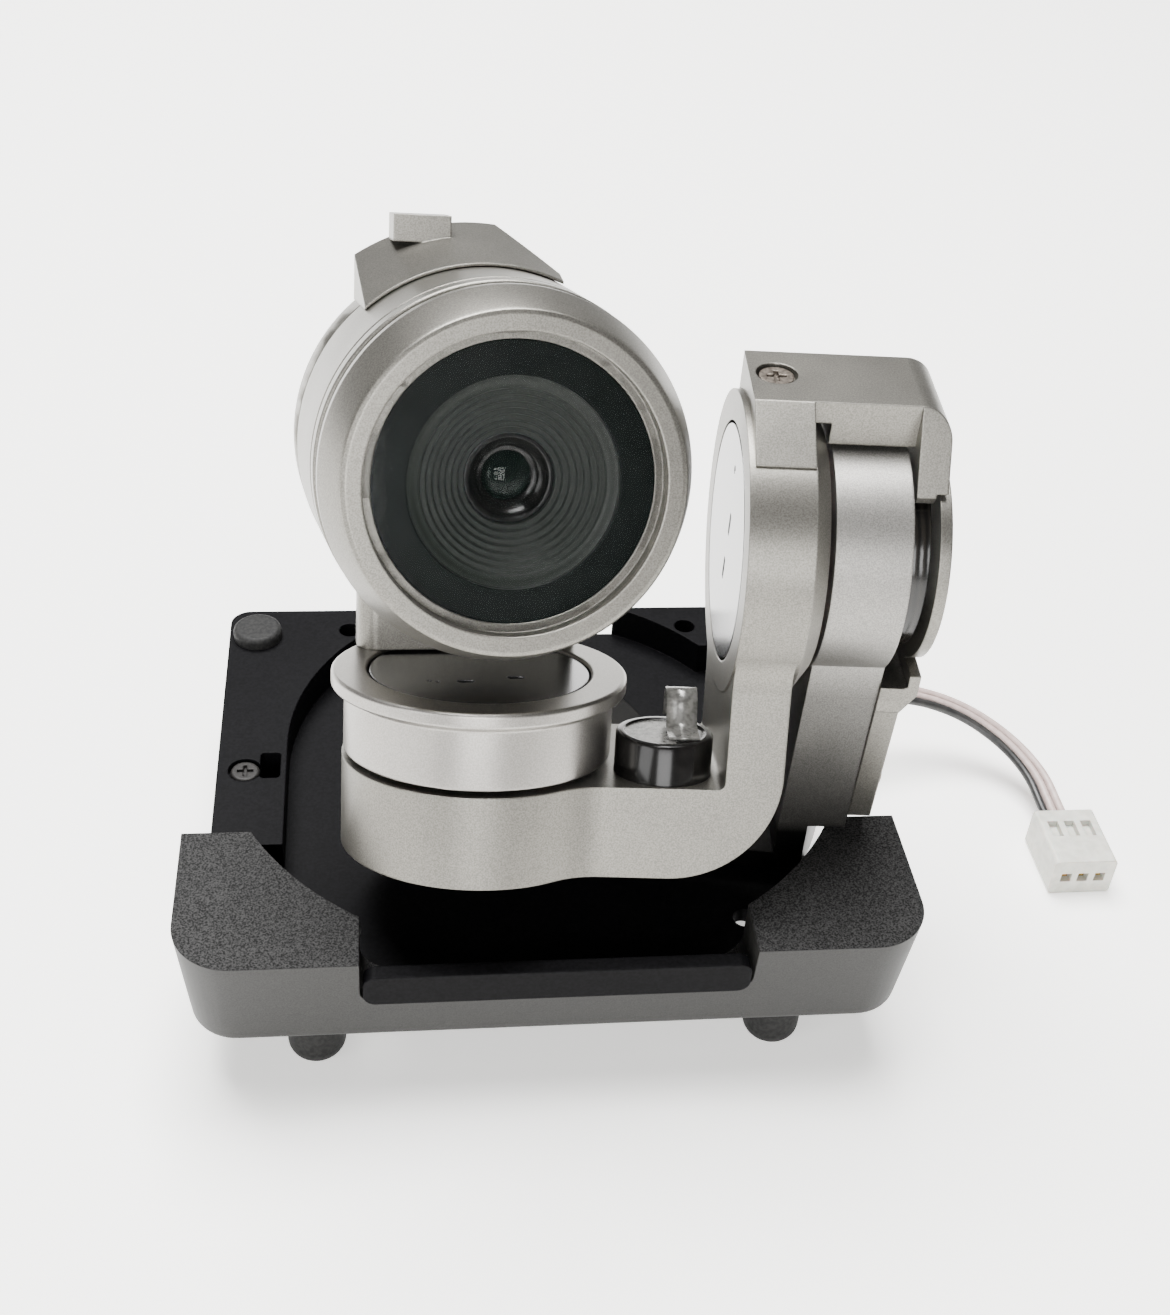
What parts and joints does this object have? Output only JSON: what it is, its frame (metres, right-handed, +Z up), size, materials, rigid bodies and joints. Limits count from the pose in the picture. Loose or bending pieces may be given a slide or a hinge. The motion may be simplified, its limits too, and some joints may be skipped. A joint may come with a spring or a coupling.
{
  "type": "camera gimbal",
  "caption": "Three-axis camera gimbal standing upside down: round camera on an L-shaped roll arm, strut and roll motor on a yaw base with rubber dampers, and a short cable with a plug.",
  "frame": {"origin": "on the yaw axis, in the plane of the four dampers' ends that the gimbal stands on", "axes": "+Z up along the yaw axis, from the dampers to the camera; -Y towards the front shell, which the camera faces; +X towards the roll motor and the cable"},
  "size_m": [0.0674, 0.0375, 0.0497],
  "materials": {
    "satin_silver": "fine bead-blasted, anodised natural silver",
    "bright_edge": "fine turned rims and caps",
    "grey_skirt": "satin warm grey paint, textured on its top",
    "charcoal": "matt glass-filled nylon",
    "rubber_grey": "soft silicone rubber",
    "black_gloss": "glossy black",
    "black_matt": "matt black",
    "screw_steel": "small machine screw",
    "brown_screw": "dark bronze-coloured screw",
    "bearing_steel": "polished bearing steel",
    "magnet": "nickel-plated magnet",
    "core_steel": "coated lamination stack",
    "copper": "enamelled copper winding",
    "board_green": "solder mask",
    "chip_black": "moulded chip package",
    "flex_black": "polyimide flat cable",
    "flex_clear": "folded bare end of the flat cable",
    "plug_white": "nylon plug housing",
    "contact_brass": "crimped contact",
    "wire_pink": "silicone wire insulation",
    "wire_dark": "silicone wire insulation",
    "window_glass": "coated cover glass",
    "lens_glass": "coated front lens",
    "sensor_glass": "image sensor die and cover",
    "bronze_band": "thin dark bronze band"
  },
  "bodies": {
    "base": {"front_shell": "grey_skirt", "inner_deck": "charcoal", "deck_screw": "screw_steel", "rubber_dampers": "rubber_grey", "yaw_motor_can": "bright_edge", "yaw_stator_core": "core_steel", "yaw_windings": "copper", "yaw_bearings": "bearing_steel", "control_board": "board_green", "board_chips": "chip_black", "cable_clip": "black_matt", "plug_housing": "plug_white", "plug_contacts": "contact_brass", "signal_wire_inner": "wire_dark", "signal_wire_middle": "wire_pink", "signal_wire_outer": "wire_pink"},
    "yaw": {"yaw_rotor": "bright_edge", "yaw_magnets": "magnet", "yaw_arm": "satin_silver", "yaw_arm_cover": "satin_silver", "cover_screw": "brown_screw", "roll_stator_core": "core_steel", "roll_windings": "copper", "roll_bearings": "bearing_steel", "flex_coil": "flex_black"},
    "roll": {"roll_arm": "satin_silver", "roll_rotor_cap": "bright_edge", "roll_magnets": "magnet", "flex_bridge": "satin_silver", "bridge_screw": "screw_steel", "flex_drum": "black_gloss", "flex_clip": "flex_clear", "pitch_stator_core": "core_steel", "pitch_windings": "copper", "pitch_bearings": "bearing_steel", "encoder_board": "board_green"},
    "camera": {"pitch_rotor": "bright_edge", "pitch_rotor_cap": "bright_edge", "pitch_magnets": "magnet", "camera_bracket": "satin_silver", "camera_barrel": "satin_silver", "groove_band": "bronze_band", "front_bezel": "satin_silver", "window_glass": "window_glass", "lens_shroud": "black_matt", "lens_barrel": "black_gloss", "front_lens": "lens_glass", "sensor_board": "board_green", "image_sensor": "sensor_glass", "lens_mount": "black_matt", "rear_cover": "satin_silver", "saddle_cover": "satin_silver"}
  },
  "joints": [
    {"name": "yaw_axis", "type": "hinge", "parent": "base", "child": "yaw", "pos_m": [0, 0, 0.0086], "axis": [0, 0, 1], "range_deg": [-36, 30]},
    {"name": "roll_axis", "type": "hinge", "parent": "yaw", "child": "roll", "pos_m": [-0.00042, -0.00558, 0.0323], "axis": [0.9972, -0.075, 0], "range_deg": [-93, 37]},
    {"name": "pitch_axis", "type": "hinge", "parent": "roll", "child": "camera", "pos_m": [-0.00441, -0.00594, 0.03256], "axis": [0.0278, 0.3703, 0.9285], "range_deg": [-140, 25]}
  ]
}
